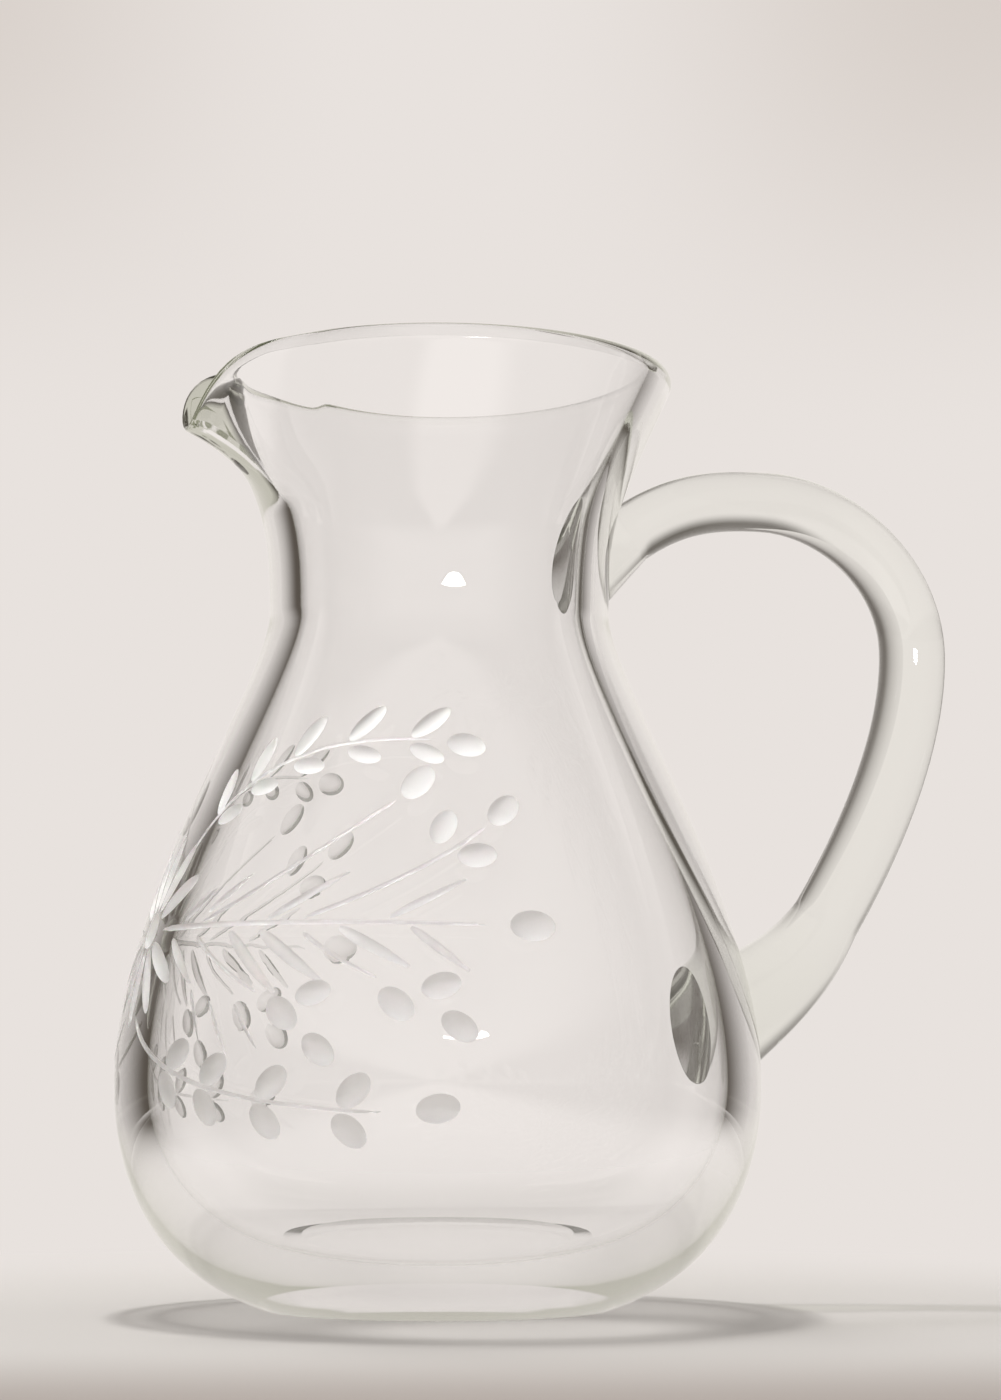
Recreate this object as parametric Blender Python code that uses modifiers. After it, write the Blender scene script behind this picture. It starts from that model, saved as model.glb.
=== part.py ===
"""Hand-blown glass pitcher: a pear-shaped body with a pinched pouring lip, and an applied loop handle.

Sizes are in metres and +Z is up. The origin is the middle of the flat ground base, on the axis of the
body. The handle points along +X and the pouring lip along -X.
"""

import math

import bmesh
import bpy
from mathutils import Vector
from mathutils.geometry import interpolate_bezier

# Outer form of the body
BODY_HEIGHT = 0.2300
BASE_RADIUS = 0.0415
BELLY_RADIUS = 0.0784
BELLY_HEIGHT = 0.0548
WAIST_RADIUS = 0.0419
WAIST_HEIGHT = 0.1685
RIM_RADIUS = 0.0577

# Glass thickness: blown walls thin out towards the neck, and the fire-polished rim is a rounded bead
BELLY_WALL = 0.0080
WAIST_WALL = 0.0076
RIM_WALL = 0.0070
FLOOR_THICKNESS = 0.0100
FLOOR_RADIUS = 0.0340

# Slopes of the outline at its ends
BASE_RISE = math.radians(17.7)
FLOOR_RISE = math.radians(10.0)
RIM_LEAN = math.radians(24.5)

# How long each end of a curved stretch holds its direction, as a share of that stretch's chord
BASE_HOLD = 0.415
BELLY_HOLD_BELOW = 0.386
BELLY_HOLD_ABOVE = 0.351
WAIST_HOLD_BELOW = 0.133
WAIST_HOLD_ABOVE = 0.402
RIM_HOLD = 0.568

# Pouring lip: the lip is drawn out and down, and squeezed in on both sides of the channel
LIP_DEPTH = 0.0360
LIP_EASE = 1.4
LIP_PULL = 0.0085
PULL_SPREAD = math.radians(18.0)
PULL_FULLNESS = 3
LIP_DROP = 0.0180
DROP_SPREAD = math.radians(11.5)
DROP_FULLNESS = 2
LIP_PINCH = 0.0054
LIP_LIFT = 0.0013
PINCH_ANGLE = math.radians(33.0)
PINCH_SPREAD_FRONT = math.radians(16.0)
PINCH_SPREAD_BACK = math.radians(49.0)
PINCH_FULLNESS = 2

# Handle: a drawn rod, stuck to the belly first, looped up and pressed on to the neck
UPPER_WELD_BELOW_RIM = 0.0435
CREST_ABOVE_UPPER_WELD = 0.0165
CREST_FROM_NECK = 0.0465
REACH_BELOW_CREST = 0.0380
REACH_PAST_BELLY = 0.0532
LOWER_WELD_ABOVE_BELLY = 0.0158
BEND_ABOVE_LOWER_WELD = 0.0250
BEND_FROM_WALL = 0.0285
UPPER_WELD_SLOPE = math.radians(35.0)
BEND_SLOPE = math.radians(57.0)
LOWER_WELD_SLOPE = math.radians(33.0)
CREST_RADIUS = 0.0077
REACH_RADIUS = 0.0086
BEND_RADIUS = 0.0088
UPPER_PAD_RADIUS = 0.0120
UPPER_PAD_LENGTH = 0.0100
LOWER_PAD_RADIUS = 0.0154
# How long the rod holds its direction at both ends of each stretch, as a share of that stretch's chord
NECK_HOLD = 0.38
CREST_HOLD = 0.38
REACH_HOLD = 0.31
FOOT_HOLD = 0.38

# Each weld is left open by this much, so that the two pieces stay separate solids
WELD_GAP = 0.0003
# How far the handle's two ends run on under the glass before they are trimmed to the body
TRIM_DEPTH = 0.0100

# Fineness of the facets
TURN_STEPS = 96
STRETCH_POINTS = 9
RIM_POINTS = 5
FLOOR_POINTS = 2
ROD_POINTS = 9
ROD_BEVEL = 6
# Points closer than this are one point
MERGE_DISTANCE = 0.00001
# A face whose normal points down further than this belongs to the ground base
FACING_DOWN = -0.999

# Finish
BODY_COLOUR = (0.93, 0.94, 0.93)
HANDLE_COLOUR = (0.92, 0.93, 0.92)
POLISHED_ROUGHNESS = 0.02
SODA_GLASS_IOR = 1.52


def clear_scene():
    for obj in list(bpy.data.objects):
        bpy.data.objects.remove(obj, do_unlink=True)


def new_collection(name):
    collection = bpy.data.collections.new(name)
    bpy.context.scene.collection.children.link(collection)
    return collection


def clear_glass(name, colour):
    """Colourless soda glass, fire polished, with the faint grey-green that thick glass shows."""
    material = bpy.data.materials.new(name)
    material.use_nodes = True
    shader = material.node_tree.nodes["Principled BSDF"]
    shader.inputs["Base Color"].default_value = (*colour, 1.0)
    shader.inputs["Roughness"].default_value = POLISHED_ROUGHNESS
    shader.inputs["Metallic"].default_value = 0.0
    shader.inputs["IOR"].default_value = SODA_GLASS_IOR
    shader.inputs["Transmission Weight"].default_value = 1.0
    return material


def heading(angle):
    """Unit direction in the outline's plane, measured from the outward radius towards +Z."""
    return Vector((math.cos(angle), math.sin(angle)))


UP = heading(math.pi / 2)


def stretch(start, start_heading, start_hold, end, end_heading, end_hold):
    """Smooth curve between two points of the outline that leaves and arrives along the given headings."""
    chord = (end - start).length
    near = start + start_heading * start_hold * chord
    far = end - end_heading * end_hold * chord
    return interpolate_bezier(start, near, far, end, STRETCH_POINTS)


def rim_centre():
    """Middle of the rounded bead that ends the wall."""
    return Vector((RIM_RADIUS - RIM_WALL / 2, BODY_HEIGHT - RIM_WALL / 2))


def rim_side(side):
    """Where the bead runs into the wall: side is 1 on the outside and -1 on the inside."""
    return rim_centre() + heading(-RIM_LEAN) * side * RIM_WALL / 2


def outer_outline(grown=0.0):
    """Outside of the body from the base up to the rim, moved outwards by grown."""
    base = Vector((BASE_RADIUS, 0.0))
    belly = Vector((BELLY_RADIUS, BELLY_HEIGHT))
    waist = Vector((WAIST_RADIUS, WAIST_HEIGHT))
    lip = heading(math.pi / 2 - RIM_LEAN)
    lower = stretch(base, heading(BASE_RISE), BASE_HOLD, belly, UP, BELLY_HOLD_BELOW)
    middle = stretch(belly, UP, BELLY_HOLD_ABOVE, waist, UP, WAIST_HOLD_BELOW)
    upper = stretch(waist, UP, WAIST_HOLD_ABOVE, rim_side(1), lip, RIM_HOLD)
    points = lower + middle[1:] + upper[1:]
    if not grown:
        return points
    moved = []
    for index, point in enumerate(points):
        along = points[min(index + 1, len(points) - 1)] - points[max(index - 1, 0)]
        outwards = Vector((along.y, -along.x)).normalized()
        moved.append(point + outwards * grown)
    return moved


def inner_outline():
    """Inside of the body from the edge of the flat floor up to the rim."""
    floor = Vector((FLOOR_RADIUS, FLOOR_THICKNESS))
    belly = Vector((BELLY_RADIUS - BELLY_WALL, BELLY_HEIGHT))
    waist = Vector((WAIST_RADIUS - WAIST_WALL, WAIST_HEIGHT))
    lip = heading(math.pi / 2 - RIM_LEAN)
    lower = stretch(floor, heading(FLOOR_RISE), BASE_HOLD, belly, UP, BELLY_HOLD_BELOW)
    middle = stretch(belly, UP, BELLY_HOLD_ABOVE, waist, UP, WAIST_HOLD_BELOW)
    upper = stretch(waist, UP, WAIST_HOLD_ABOVE, rim_side(-1), lip, RIM_HOLD)
    return lower + middle[1:] + upper[1:]


def rim_bead():
    """Round of the rim between its inner and its outer side, both left out."""
    first = math.pi - RIM_LEAN
    centre = rim_centre()
    turns = [first - math.pi * step / (RIM_POINTS + 1) for step in range(1, RIM_POINTS + 1)]
    return [centre + heading(turn) * RIM_WALL / 2 for turn in turns]


def from_axis(end, count):
    """Points from the axis out to a point of the outline, at its height, with that point left out."""
    return [Vector((end.x * step / count, end.y)) for step in range(count)]


def outer_radius(height):
    """Outside radius of the body at a height."""
    points = outer_outline()
    for below, above in zip(points, points[1:]):
        if below.y <= height <= above.y:
            share = (height - below.y) / (above.y - below.y)
            return below.x + (above.x - below.x) * share
    raise ValueError(f"no wall at height {height}")


def turned(name, outline, collection):
    """Mesh object turned about the Z axis from an outline that runs down its outer side."""
    mesh = bpy.data.meshes.new(name + "_outline")
    edges = [(index, index + 1) for index in range(len(outline) - 1)]
    mesh.from_pydata([(point.x, 0.0, point.y) for point in outline], edges, [])
    profile = bpy.data.objects.new(name + "_outline", mesh)
    collection.objects.link(profile)
    screw = profile.modifiers.new("turn", "SCREW")
    screw.steps = TURN_STEPS
    screw.render_steps = TURN_STEPS
    screw.use_merge_vertices = True
    screw.merge_threshold = MERGE_DISTANCE
    screw.use_smooth_shade = True
    return as_mesh(name, profile, collection)


def as_mesh(name, source, collection):
    """Mesh object with the evaluated shape of source, which it replaces."""
    bpy.context.view_layer.update()
    graph = bpy.context.evaluated_depsgraph_get()
    mesh = bpy.data.meshes.new_from_object(source.evaluated_get(graph))
    mesh.name = name
    mould = bmesh.new()
    mould.from_mesh(mesh)
    bmesh.ops.remove_doubles(mould, verts=mould.verts, dist=MERGE_DISTANCE)
    mould.to_mesh(mesh)
    mould.free()
    obj = bpy.data.objects.new(name, mesh)
    obj.matrix_world = source.matrix_world
    collection.objects.link(obj)
    bpy.data.objects.remove(source, do_unlink=True)
    return obj


def bump(angle, spread, fullness):
    """1 at the middle and 0 well past the spread; a greater fullness gives a flatter top."""
    return math.exp(-(abs(angle / spread) ** fullness))


def form_lip(mesh):
    """Draws the lip out and down towards -X, and squeezes it in on both sides of the channel."""
    start = BODY_HEIGHT - LIP_DEPTH
    for vertex in mesh.vertices:
        x, y, z = vertex.co
        if z <= start:
            continue
        ease = ((z - start) / LIP_DEPTH) ** LIP_EASE
        angle = math.atan2(y, -x)
        past_pinch = abs(angle) - PINCH_ANGLE
        pinch_spread = PINCH_SPREAD_BACK if past_pinch > 0.0 else PINCH_SPREAD_FRONT
        squeeze = bump(past_pinch, pinch_spread, PINCH_FULLNESS)
        pull = bump(angle, PULL_SPREAD, PULL_FULLNESS)
        drop = bump(angle, DROP_SPREAD, DROP_FULLNESS)
        outwards = LIP_PULL * pull - LIP_PINCH * squeeze
        upwards = LIP_LIFT * squeeze - LIP_DROP * drop
        radius = math.hypot(x, y)
        scale = (radius + ease * outwards) / radius
        vertex.co = (x * scale, y * scale, z + ease * upwards)


def grind_base(mesh):
    """Gives the ground base its flat shading, so that it ends in a crisp edge."""
    for polygon in mesh.polygons:
        if polygon.normal.z < FACING_DOWN:
            polygon.use_smooth = False


def build_body(collection):
    """One gather of glass: thick ground base, bowl, waisted neck, flared rim and pouring lip."""
    inner = inner_outline()
    outer = outer_outline()
    underside = [Vector((point.x, 0.0)) for point in from_axis(outer[0], FLOOR_POINTS)]
    outline = from_axis(inner[0], FLOOR_POINTS) + inner + rim_bead()
    outline += outer[::-1] + underside[::-1]
    body = turned("blown_body", outline, collection)
    form_lip(body.data)
    body.data.materials.append(clear_glass("blown_glass", BODY_COLOUR))
    body.data.shade_smooth()
    grind_base(body.data)
    return body


def build_trimmer(collection):
    """The body's outside as one solid, a weld gap larger, to trim the handle's two ends."""
    outer = outer_outline(WELD_GAP)
    outline = [Vector((0.0, outer[-1].y))] + outer[::-1] + [Vector((0.0, outer[0].y))]
    trimmer = turned("weld_trimmer", outline, collection)
    trimmer.hide_render = True
    trimmer.display_type = "WIRE"
    return trimmer


def wall_at(height):
    """Point of the body's outside at a height."""
    return Vector((outer_radius(height), height))


def handle_route():
    """Points of the rod's middle line from the neck to the belly: place, heading, radius and next hold."""
    upper = heading(UPPER_WELD_SLOPE)
    bend = heading(BEND_SLOPE)
    lower = heading(LOWER_WELD_SLOPE)
    neck = wall_at(BODY_HEIGHT - UPPER_WELD_BELOW_RIM)
    belly = wall_at(BELLY_HEIGHT + LOWER_WELD_ABOVE_BELLY)
    crest = neck + Vector((CREST_FROM_NECK, CREST_ABOVE_UPPER_WELD))
    reach = Vector((BELLY_RADIUS + REACH_PAST_BELLY, crest.y - REACH_BELOW_CREST))
    turn_in = belly + Vector((BEND_FROM_WALL, BEND_ABOVE_LOWER_WELD))
    return [
        (neck - upper * TRIM_DEPTH, upper, UPPER_PAD_RADIUS, NECK_HOLD),
        (neck + upper * UPPER_PAD_LENGTH, upper, CREST_RADIUS, NECK_HOLD),
        (crest, heading(0.0), CREST_RADIUS, CREST_HOLD),
        (reach, -UP, REACH_RADIUS, REACH_HOLD),
        (turn_in, -bend, BEND_RADIUS, FOOT_HOLD),
        (belly - lower * TRIM_DEPTH, -lower, LOWER_PAD_RADIUS, FOOT_HOLD),
    ]


def build_handle(collection, trimmer):
    """Solid glass rod, looped from the neck to the belly and trimmed to saddle the body at both welds."""
    route = handle_route()
    data = bpy.data.curves.new("handle_rod", "CURVE")
    data.dimensions = "3D"
    data.bevel_depth = 1.0
    data.bevel_resolution = ROD_BEVEL
    data.resolution_u = ROD_POINTS
    data.use_fill_caps = True
    spline = data.splines.new("BEZIER")
    spline.bezier_points.add(len(route) - 1)
    for index, (place, way, radius, hold) in enumerate(route):
        last_place, _, _, last_hold = route[max(index - 1, 0)]
        next_place = route[min(index + 1, len(route) - 1)][0]
        before = (place - last_place).length * last_hold
        after = (next_place - place).length * hold
        point = spline.bezier_points[index]
        point.co = (place.x, 0.0, place.y)
        point.radius = radius
        point.handle_left_type = "FREE"
        point.handle_right_type = "FREE"
        left = place - way * before
        right = place + way * after
        point.handle_left = (left.x, 0.0, left.y)
        point.handle_right = (right.x, 0.0, right.y)
    rod = bpy.data.objects.new("handle_rod", data)
    collection.objects.link(rod)
    handle = as_mesh("applied_handle", rod, collection)
    trim = handle.modifiers.new("trim_to_body", "BOOLEAN")
    trim.operation = "DIFFERENCE"
    trim.solver = "EXACT"
    trim.object = trimmer
    handle.data.materials.append(clear_glass("drawn_glass", HANDLE_COLOUR))
    handle.data.shade_smooth()
    return handle


def main():
    clear_scene()
    parts = new_collection("glass_pitcher")
    cutters = new_collection("cutters")
    build_body(parts)
    trimmer = build_trimmer(cutters)
    build_handle(parts, trimmer)


main()
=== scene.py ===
"""Glass pitcher dressing: the fine blown body with its wheel-cut foliage, the drawn handle, and the stage.

Sizes are in metres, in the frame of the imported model: +Z is up, the handle points along +X and the pouring
lip along -X. The outline, the lip and the handle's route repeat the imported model's own values.
"""

import math
from collections import namedtuple

import bpy
from bpy.props import FloatProperty, FloatVectorProperty, IntProperty, PointerProperty
from mathutils import Matrix, Vector
from mathutils.geometry import interpolate_bezier


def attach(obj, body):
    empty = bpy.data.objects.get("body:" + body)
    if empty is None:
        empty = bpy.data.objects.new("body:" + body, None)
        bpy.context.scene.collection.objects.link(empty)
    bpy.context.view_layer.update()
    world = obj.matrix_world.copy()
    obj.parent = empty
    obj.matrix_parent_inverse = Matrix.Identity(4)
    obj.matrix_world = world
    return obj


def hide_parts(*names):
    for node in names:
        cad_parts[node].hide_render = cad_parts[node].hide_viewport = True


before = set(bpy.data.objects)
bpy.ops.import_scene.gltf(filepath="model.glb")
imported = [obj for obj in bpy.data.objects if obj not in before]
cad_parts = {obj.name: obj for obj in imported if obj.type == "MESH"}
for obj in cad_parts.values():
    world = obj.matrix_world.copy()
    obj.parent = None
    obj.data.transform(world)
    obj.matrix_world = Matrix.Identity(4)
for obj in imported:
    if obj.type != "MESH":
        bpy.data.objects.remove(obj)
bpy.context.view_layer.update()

bl_info = {
    "name": "Glass Pitcher",
    "version": (1, 0, 0),
    "blender": (4, 5, 0),
    "location": "3D View > Sidebar > Pitcher",
    "description": "Builds a blown glass pitcher with wheel-cut foliage round its packed model",
    "category": "Object",
}

UP = Vector((0.0, 1.0))
DOUBLES = 0.000005  # points of a mesh nearer to each other than this are one
GROOVE_DOUBLES = 0.000001  # the same on the fine wheel that cuts grooves
SLIVERS = 0.000002  # faces thinner than this are dissolved
SLOPE_STEP = 0.0005  # half of the height over which a wall's slope is taken
BODY_CREASE = math.radians(9.0)  # edges that bend more than this stay crisp on the body,
CUT_CREASE = math.radians(35.0)  # inside a cut
ROD_CREASE = math.radians(40.0)  # and on the rod


def linear(hex_code):
    """Linear colour of an sRGB hex value."""
    parts = [int(hex_code[i : i + 2], 16) / 255 for i in (0, 2, 4)]
    return [p / 12.92 if p <= 0.04045 else ((p + 0.055) / 1.055) ** 2.4 for p in parts]


def length(name, default, description):
    return FloatProperty(name=name, description=description, default=default, unit="LENGTH", precision=4)


def angle(name, degrees, description):
    return FloatProperty(name=name, description=description, default=math.radians(degrees), subtype="ANGLE")


def share(name, default, description):
    return FloatProperty(name=name, description=description, default=default, min=0.0)


def colour(name, hex_code, description):
    return FloatVectorProperty(
        name=name, description=description, default=linear(hex_code), subtype="COLOR", min=0.0, max=1.0
    )


def power(name, default, description):
    return FloatProperty(name=name, description=description, default=default, unit="POWER", min=0.0)


def offset(name, default, description):
    return FloatVectorProperty(name=name, description=description, default=default, unit="LENGTH")


class BodySettings(bpy.types.PropertyGroup):
    """Outline, walls and pouring lip of the blown body."""

    height: length("Height", 0.2300, "Height of the rim away from the lip")
    base_radius: length("Base Radius", 0.0415, "Radius of the flat ground base")
    belly_radius: length("Belly Radius", 0.0784, "Greatest radius")
    belly_height: length("Belly Height", 0.0548, "Height of the greatest radius")
    waist_radius: length("Waist Radius", 0.0419, "Least radius of the neck")
    waist_height: length("Waist Height", 0.1685, "Height of the least radius")
    rim_radius: length("Rim Radius", 0.0577, "Radius of the flared rim")
    belly_wall: length("Belly Wall", 0.0080, "Thickness of the glass at the belly")
    waist_wall: length("Waist Wall", 0.0076, "Thickness of the glass at the waist")
    rim_wall: length("Rim Wall", 0.0070, "Thickness of the rounded rim")
    floor_thickness: length("Floor Thickness", 0.0100, "Thickness of the bottom")
    floor_radius: length("Floor Radius", 0.0340, "Radius of the flat inside of the bottom")
    base_rise: angle("Base Rise", 17.7, "Slope of the outside at the base")
    floor_rise: angle("Floor Rise", 10.0, "Slope of the inside at the floor")
    rim_lean: angle("Rim Lean", 24.5, "Outward lean of the wall at the rim")
    base_hold: share("Base Hold", 0.415, "How long the outline keeps its slope at the base")
    belly_hold_below: share("Belly Hold Below", 0.386, "How long the outline stays upright below the belly")
    belly_hold_above: share("Belly Hold Above", 0.351, "How long the outline stays upright above the belly")
    waist_hold_below: share("Waist Hold Below", 0.133, "How long the outline stays upright below the waist")
    waist_hold_above: share("Waist Hold Above", 0.402, "How long the outline stays upright above the waist")
    rim_hold: share("Rim Hold", 0.568, "How long the outline keeps its lean at the rim")
    lip_depth: length("Lip Depth", 0.0360, "How far below the rim the lip starts")
    lip_ease: share("Lip Ease", 1.4, "How slowly the lip grows out of the neck")
    lip_pull: length("Lip Pull", 0.0085, "How far the lip is drawn out")
    pull_spread: angle("Pull Spread", 18.0, "Half width of the part that is drawn out")
    lip_drop: length("Lip Drop", 0.0180, "How far the lip is drawn down")
    drop_spread: angle("Drop Spread", 11.5, "Half width of the channel")
    lip_pinch: length("Lip Pinch", 0.0054, "How far the rim is squeezed in beside the lip")
    lip_lift: length("Lip Lift", 0.0013, "How far the squeezed rim rises")
    pinch_angle: angle("Pinch Angle", 33.0, "Where the rim is squeezed most")
    pinch_front: angle("Pinch Front", 16.0, "Reach of the squeeze towards the lip")
    pinch_back: angle("Pinch Back", 49.0, "Reach of the squeeze towards the handle")
    turn_steps: IntProperty(name="Turn Steps", description="Facets round the axis", default=240, min=24)
    stretch_points: IntProperty(name="Stretch Points", description="Points on each curve", default=30, min=6)


class HandleSettings(bpy.types.PropertyGroup):
    """Route and thickness of the drawn rod."""

    upper_weld_below_rim: length("Upper Weld Below Rim", 0.0435, "Middle of the weld on the neck")
    crest_above_upper_weld: length("Crest Above Upper Weld", 0.0165, "Rise from the upper weld to the crest")
    crest_from_neck: length("Crest From Neck", 0.0465, "From the neck's wall out to the crest")
    reach_below_crest: length("Reach Below Crest", 0.0380, "Drop from the crest to the outermost point")
    reach_past_belly: length("Reach Past Belly", 0.0532, "How far the rod's middle passes the belly")
    lower_weld_above_belly: length("Lower Weld Above Belly", 0.0158, "Middle of the weld on the belly")
    bend_above_lower_weld: length("Bend Above Lower Weld", 0.0250, "Rise from that weld to the last bend")
    bend_from_wall: length("Bend From Wall", 0.0285, "From the belly's wall out to the last bend")
    upper_weld_slope: angle("Upper Weld Slope", 35.0, "Slope of the rod where it leaves the neck")
    bend_slope: angle("Bend Slope", 57.0, "Slope of the rod at the last bend")
    lower_weld_slope: angle("Lower Weld Slope", 33.0, "Slope of the rod where it meets the belly")
    crest_radius: length("Crest Radius", 0.0077, "Radius of the rod at the crest")
    reach_radius: length("Reach Radius", 0.0086, "Radius of the rod at the outermost point")
    bend_radius: length("Bend Radius", 0.0088, "Radius of the rod at the last bend")
    upper_pad_radius: length("Upper Pad Radius", 0.0120, "Radius of the end pressed on to the neck")
    upper_pad_length: length("Upper Pad Length", 0.0100, "Length over which that end flares")
    lower_pad_radius: length("Lower Pad Radius", 0.0154, "Radius of the end stuck to the belly")
    long_hold: share("Long Hold", 0.31, "How long the rod keeps its direction on the outer stretch")
    hold: share("Hold", 0.38, "How long the rod keeps its direction elsewhere")
    trim_depth: length("Trim Depth", 0.0100, "How far the ends run on before they are trimmed")
    melt: length("Melt", 0.00015, "How far the welded ends sink into the body's skin")


def heading(turn):
    """Unit direction in the outline's plane, measured from the outward radius towards +Z."""
    return Vector((math.cos(turn), math.sin(turn)))


def stretch(start, start_heading, start_hold, end, end_heading, end_hold, count):
    """Smooth curve between two points of the outline that leaves and arrives along the given headings."""
    chord = (end - start).length
    near = start + start_heading * start_hold * chord
    far = end - end_heading * end_hold * chord
    return interpolate_bezier(start, near, far, end, count)


def rim_centre(body):
    return Vector((body.rim_radius - body.rim_wall / 2, body.height - body.rim_wall / 2))


def wall_outline(body, foot, foot_heading, belly_wall, waist_wall, side):
    """One side of the wall from its foot up to the rounded rim: side is 1 outside and -1 inside."""
    count = body.stretch_points
    belly = Vector((body.belly_radius - belly_wall, body.belly_height))
    waist = Vector((body.waist_radius - waist_wall, body.waist_height))
    rim = rim_centre(body) + heading(-body.rim_lean) * side * body.rim_wall / 2
    lip = heading(math.pi / 2 - body.rim_lean)
    lower = stretch(foot, foot_heading, body.base_hold, belly, UP, body.belly_hold_below, count)
    middle = stretch(belly, UP, body.belly_hold_above, waist, UP, body.waist_hold_below, count)
    upper = stretch(waist, UP, body.waist_hold_above, rim, lip, body.rim_hold, count)
    return lower + middle[1:] + upper[1:]


def outer_outline(body):
    return wall_outline(body, Vector((body.base_radius, 0.0)), heading(body.base_rise), 0.0, 0.0, 1)


def inner_outline(body):
    foot = Vector((body.floor_radius, body.floor_thickness))
    return wall_outline(body, foot, heading(body.floor_rise), body.belly_wall, body.waist_wall, -1)


def rim_bead(body, count=24):
    """Round of the rim between its inner and its outer side, both left out."""
    first = math.pi - body.rim_lean
    turns = [first - math.pi * step / (count + 1) for step in range(1, count + 1)]
    return [rim_centre(body) + heading(turn) * body.rim_wall / 2 for turn in turns]


def bump(turn, spread, fullness):
    """1 at the middle and 0 well past the spread; a greater fullness gives a flatter top."""
    return math.exp(-(abs(turn / spread) ** fullness))


def form_lip(body, mesh):
    """Draws the lip out and down towards -X, and squeezes it in on both sides of the channel."""
    start = body.height - body.lip_depth
    for vertex in mesh.vertices:
        x, y, z = vertex.co
        if z <= start:
            continue
        ease = ((z - start) / body.lip_depth) ** body.lip_ease
        turn = math.atan2(y, -x)
        past_pinch = abs(turn) - body.pinch_angle
        squeeze = bump(past_pinch, body.pinch_back if past_pinch > 0.0 else body.pinch_front, 2)
        outwards = body.lip_pull * bump(turn, body.pull_spread, 3) - body.lip_pinch * squeeze
        upwards = body.lip_lift * squeeze - body.lip_drop * bump(turn, body.drop_spread, 2)
        radius = math.hypot(x, y)
        scale = (radius + ease * outwards) / radius
        vertex.co = (x * scale, y * scale, z + ease * upwards)


def start_piece():
    """Returns to object mode and deselects everything, ready for a new primitive."""
    if bpy.context.object and bpy.context.object.mode != "OBJECT":
        bpy.ops.object.mode_set(mode="OBJECT")
    bpy.ops.object.select_all(action="DESELECT")


def close_seams(threshold):
    """Merges the active mesh's doubles and points its faces outwards."""
    bpy.ops.object.mode_set(mode="EDIT")
    bpy.ops.mesh.select_all(action="SELECT")
    bpy.ops.mesh.remove_doubles(threshold=threshold)
    bpy.ops.mesh.normals_make_consistent(inside=False)
    bpy.ops.object.mode_set(mode="OBJECT")


def turn_on_axis(name, outline, steps):
    """Closed mesh object, extruded point by point along an outline and spun about the Z axis."""
    start_piece()
    bpy.ops.mesh.primitive_plane_add(size=0.001, location=(0.0, 0.0, 0.0))
    piece = bpy.context.object
    piece.name = name
    bpy.ops.object.mode_set(mode="EDIT")
    bpy.ops.mesh.merge(type="CENTER")
    bpy.ops.transform.translate(value=(outline[0].x, 0.0, outline[0].y))
    for here, there in zip(outline, outline[1:]):
        step = there - here
        bpy.ops.mesh.extrude_region_move(TRANSFORM_OT_translate={"value": (step.x, 0.0, step.y)})
    bpy.ops.mesh.select_all(action="SELECT")
    bpy.ops.mesh.spin(steps=steps, angle=2 * math.pi, center=(0.0, 0.0, 0.0), axis=(0.0, 0.0, 1.0))
    bpy.ops.object.mode_set(mode="OBJECT")
    close_seams(DOUBLES)
    return piece


def cut(piece, cutter):
    """Takes the cutter's shape out of the piece, and removes the cutter."""
    start_piece()
    bpy.context.view_layer.objects.active = piece
    piece.select_set(True)
    modifier = piece.modifiers.new("cut", "BOOLEAN")
    modifier.operation = "DIFFERENCE"
    modifier.solver = "MANIFOLD"
    modifier.object = cutter
    bpy.ops.object.modifier_apply(modifier=modifier.name)
    bpy.data.objects.remove(cutter, do_unlink=True)


class PITCHER_OT_blow_body(bpy.types.Operator):
    """Turn the blown body and form its pouring lip"""

    bl_idname = "pitcher.blow_body"
    bl_label = "Blow Body"

    def execute(self, context):
        body = context.scene.pitcher_body
        inner = inner_outline(body)
        outer = outer_outline(body)
        floor_centre = Vector((0.0, inner[0].y))
        base_centre = Vector((0.0, 0.0))
        outline = [floor_centre] + inner + rim_bead(body) + outer[::-1] + [base_centre]
        piece = turn_on_axis("body_glass", outline, body.turn_steps)
        form_lip(body, piece.data)
        bpy.ops.object.shade_smooth_by_angle(angle=BODY_CREASE)
        piece.data.materials.append(polished_glass())
        piece.data.materials.append(ground_glass())
        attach(piece, "root")
        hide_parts("blown_body")
        return {"FINISHED"}


def radius_at(outline, height):
    """Radius of an outline at a height."""
    for below, above in zip(outline, outline[1:]):
        if below.y <= height <= above.y:
            return below.x + (above.x - below.x) * (height - below.y) / (above.y - below.y)
    raise ValueError(f"no wall at height {height}")


def slope_at(outline, height):
    """How fast an outline's radius grows with the height."""
    growth = radius_at(outline, height + SLOPE_STEP) - radius_at(outline, height - SLOPE_STEP)
    return growth / (2 * SLOPE_STEP)


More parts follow.
